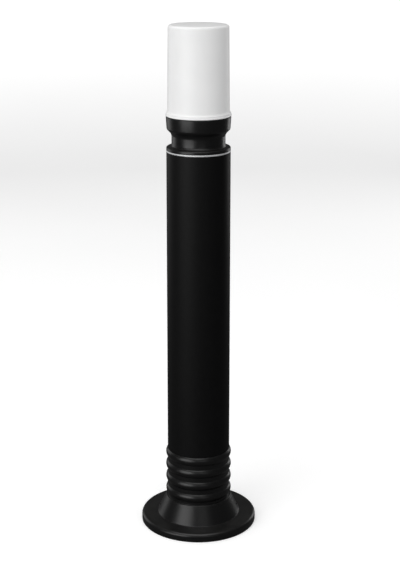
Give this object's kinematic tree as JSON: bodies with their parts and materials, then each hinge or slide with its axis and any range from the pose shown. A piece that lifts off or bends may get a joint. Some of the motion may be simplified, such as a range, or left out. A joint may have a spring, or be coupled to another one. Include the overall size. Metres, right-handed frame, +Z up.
{
  "type": "bollard light",
  "caption": "Low garden bollard light with a round black post on a beaded, flanged cast base, a spool-shaped collar, a bright trim ring and a twist-off opal diffuser over a screw-base lamp.",
  "frame": {"origin": "centre of the underside of the base flange, on the ground", "axes": "+Z up along the post's axis; -Y is the front, towards the viewer; +X to the viewer's right"},
  "size_m": [0.141, 0.141, 0.615],
  "materials": {
    "black_coat": "satin fine-texture powder coat",
    "bright_aluminium": "polished",
    "opal_plastic": "satin opal",
    "lamp_white": "frosted",
    "zinc_steel": "zinc plated",
    "nickel": "bright plated",
    "brass": "bright",
    "black_rubber": "matt",
    "black_nylon": "moulded",
    "ivory_nylon": "moulded",
    "porcelain": "glazed",
    "brown_core": "extruded",
    "blue_core": "extruded",
    "earth_core": "extruded",
    "led_phosphor": "silicone"
  },
  "bodies": {
    "root": {"ground_plate": "zinc_steel", "wiring_bracket": "zinc_steel", "bracket_screws": "zinc_steel", "terminal_block": "ivory_nylon", "terminal_screws": "brass", "block_screws": "zinc_steel", "cable_clamp": "ivory_nylon", "clamp_screws": "zinc_steel", "base_casting": "black_coat", "plate_set_screws": "zinc_steel", "gland_body": "black_nylon", "gland_locknut": "black_nylon", "gland_seal": "black_rubber", "gland_nut": "black_nylon", "tie_rods": "zinc_steel", "rod_washers": "zinc_steel", "rod_nuts": "zinc_steel", "lower_tube_seal": "black_rubber", "tube": "black_coat", "upper_tube_seal": "black_rubber", "trim_ring": "bright_aluminium", "collar": "black_coat", "lead_grommet": "black_rubber", "inner_lead": "black_rubber", "live_core": "brown_core", "neutral_core": "blue_core", "earth_core": "earth_core", "earth_lug": "nickel", "earth_screw": "brass", "holder_bracket": "zinc_steel", "holder_bracket_screws": "zinc_steel", "lampholder_body": "porcelain", "lampholder_screws": "zinc_steel", "lampholder_shell": "brass", "contact_spring": "nickel", "lock_ring": "ivory_nylon", "lock_ring_screws": "zinc_steel"},
    "seal": {"diffuser_seal": "black_rubber"},
    "diffuser": {"diffuser": "opal_plastic"},
    "lamp": {"lamp_contact": "nickel", "lamp_insulator": "black_nylon", "lamp_cap": "nickel", "lamp_body": "lamp_white", "lamp_board": "bright_aluminium", "lamp_leds": "led_phosphor", "lamp_globe": "lamp_white"},
    "contact": {"centre_contact": "brass"}
  },
  "joints": [
    {"name": "diffuser_lift", "type": "slide", "parent": "root", "child": "seal", "axis": [0, 0, 1], "range_m": [0, 0.1]},
    {"name": "diffuser_turn", "type": "hinge", "parent": "seal", "child": "diffuser", "pos_m": [0, 0, 0.509], "axis": [0, 0, 1], "range_deg": [0, 35]},
    {"name": "lamp_unscrew", "type": "slide", "parent": "root", "child": "lamp", "axis": [0, 0, 1], "range_m": [0, 0.03]},
    {"name": "contact_press", "type": "slide", "parent": "root", "child": "contact", "axis": [0, 0, -1], "range_m": [0, 0.0012], "stiffness_N_per_m": 500, "springref_m": -0.002, "deforming": ["contact_spring"]}
  ]
}
